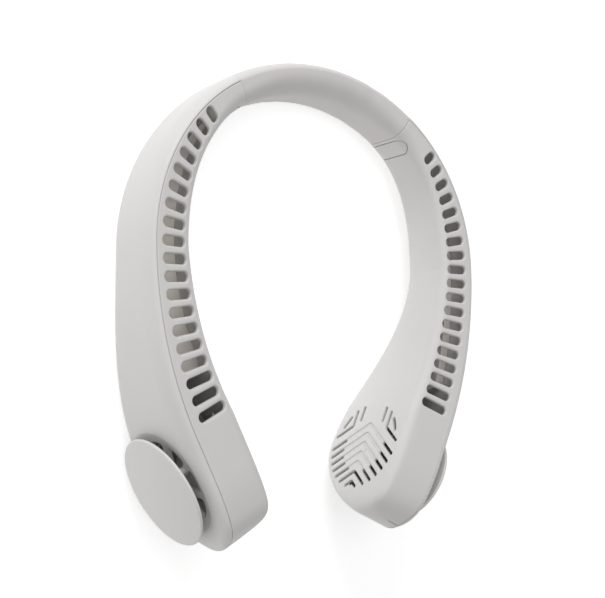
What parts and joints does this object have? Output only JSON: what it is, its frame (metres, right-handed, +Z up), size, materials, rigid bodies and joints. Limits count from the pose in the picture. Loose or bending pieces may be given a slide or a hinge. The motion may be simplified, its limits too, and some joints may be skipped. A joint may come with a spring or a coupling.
{
  "type": "electric neck fan",
  "caption": "Hands-free fan worn round the neck: a soft flexible band joins hollow arms with slotted air ducts, each ending in a blower head with a grille and a raised intake cap.",
  "frame": {"origin": "middle of the footprint on the floor that the fan rests on", "axes": "+X across the neck towards the arm with the button, +Y from the fan heads to the band, +Z up, the way the slots face"},
  "size_m": [0.1962, 0.2228, 0.0605],
  "materials": {
    "base": "moulded",
    "board": "solder mask",
    "bronze": "sintered",
    "button": "satin",
    "cable": "matte jacket",
    "cap": "satin",
    "cell": "foil pouch",
    "copper": "enamelled",
    "cover": "satin",
    "impeller": "moulded",
    "inner_plastic": "moulded",
    "magnet": "matte",
    "shell": "fine satin texture",
    "silicone": "soft matte",
    "steel": "plain",
    "switch": "matte"
  },
  "bodies": {
    "neck_band": {"neck_band": "silicone", "band_spine": "steel", "band_cable": "cable"},
    "left_impeller": {"left_impeller": "impeller", "left_magnet_ring": "magnet", "left_motor_shaft": "steel", "left_rotor_yoke": "steel"},
    "left_arm": {"left_arm_cable": "cable", "left_band_plug": "inner_plastic", "left_battery_cell": "cell", "left_clamp_screw": "steel", "left_duct_shelf": "inner_plastic", "left_inner_shell": "shell", "left_intake_cap": "cap", "left_motor_base": "base", "left_motor_bearing": "bronze", "left_outer_shell": "shell", "left_screw_cover": "cover", "left_stator_coils": "copper", "left_stator_core": "steel"},
    "right_impeller": {"right_impeller": "impeller", "right_magnet_ring": "magnet", "right_motor_shaft": "steel", "right_rotor_yoke": "steel"},
    "right_arm": {"right_arm_cable": "cable", "right_band_plug": "inner_plastic", "right_battery_cell": "cell", "right_clamp_screw": "steel", "right_duct_shelf": "inner_plastic", "right_inner_shell": "shell", "right_intake_cap": "cap", "right_motor_base": "base", "right_motor_bearing": "bronze", "right_outer_shell": "shell", "right_screw_cover": "cover", "right_stator_coils": "copper", "right_stator_core": "steel", "main_board": "board", "push_switch": "switch", "charging_port": "steel"},
    "power_button": {"power_button": "button"}
  },
  "joints": [
    {"name": "left_arm_flex", "type": "hinge", "parent": "neck_band", "child": "left_arm", "pos_m": [-0.02682, 0.10247, 0.01398], "axis": [0, -0.171, -0.9853], "range_deg": [-5, 20], "stiffness_Nm_per_rad": 1, "deforming": ["neck_band", "band_spine", "band_cable"]},
    {"name": "right_arm_flex", "type": "hinge", "parent": "neck_band", "child": "right_arm", "pos_m": [0.02682, 0.10247, 0.01398], "axis": [0, 0.171, 0.9853], "range_deg": [-5, 20], "stiffness_Nm_per_rad": 1, "deforming": ["neck_band", "band_spine", "band_cable"]},
    {"name": "left_impeller_spin", "type": "hinge", "parent": "left_arm", "child": "left_impeller", "pos_m": [-0.06491, -0.08261, 0.03037], "axis": [-0.8949, -0.4396, 0.0763], "continuous": true},
    {"name": "right_impeller_spin", "type": "hinge", "parent": "right_arm", "child": "right_impeller", "pos_m": [0.06491, -0.08261, 0.03037], "axis": [0.8949, -0.4396, 0.0763], "continuous": true},
    {"name": "power_button_press", "type": "slide", "parent": "right_arm", "child": "power_button", "axis": [-0.9559, 0.2894, -0.0502], "range_m": [0, 0.0005], "stiffness_N_per_m": 300, "springref_m": -0.001}
  ]
}
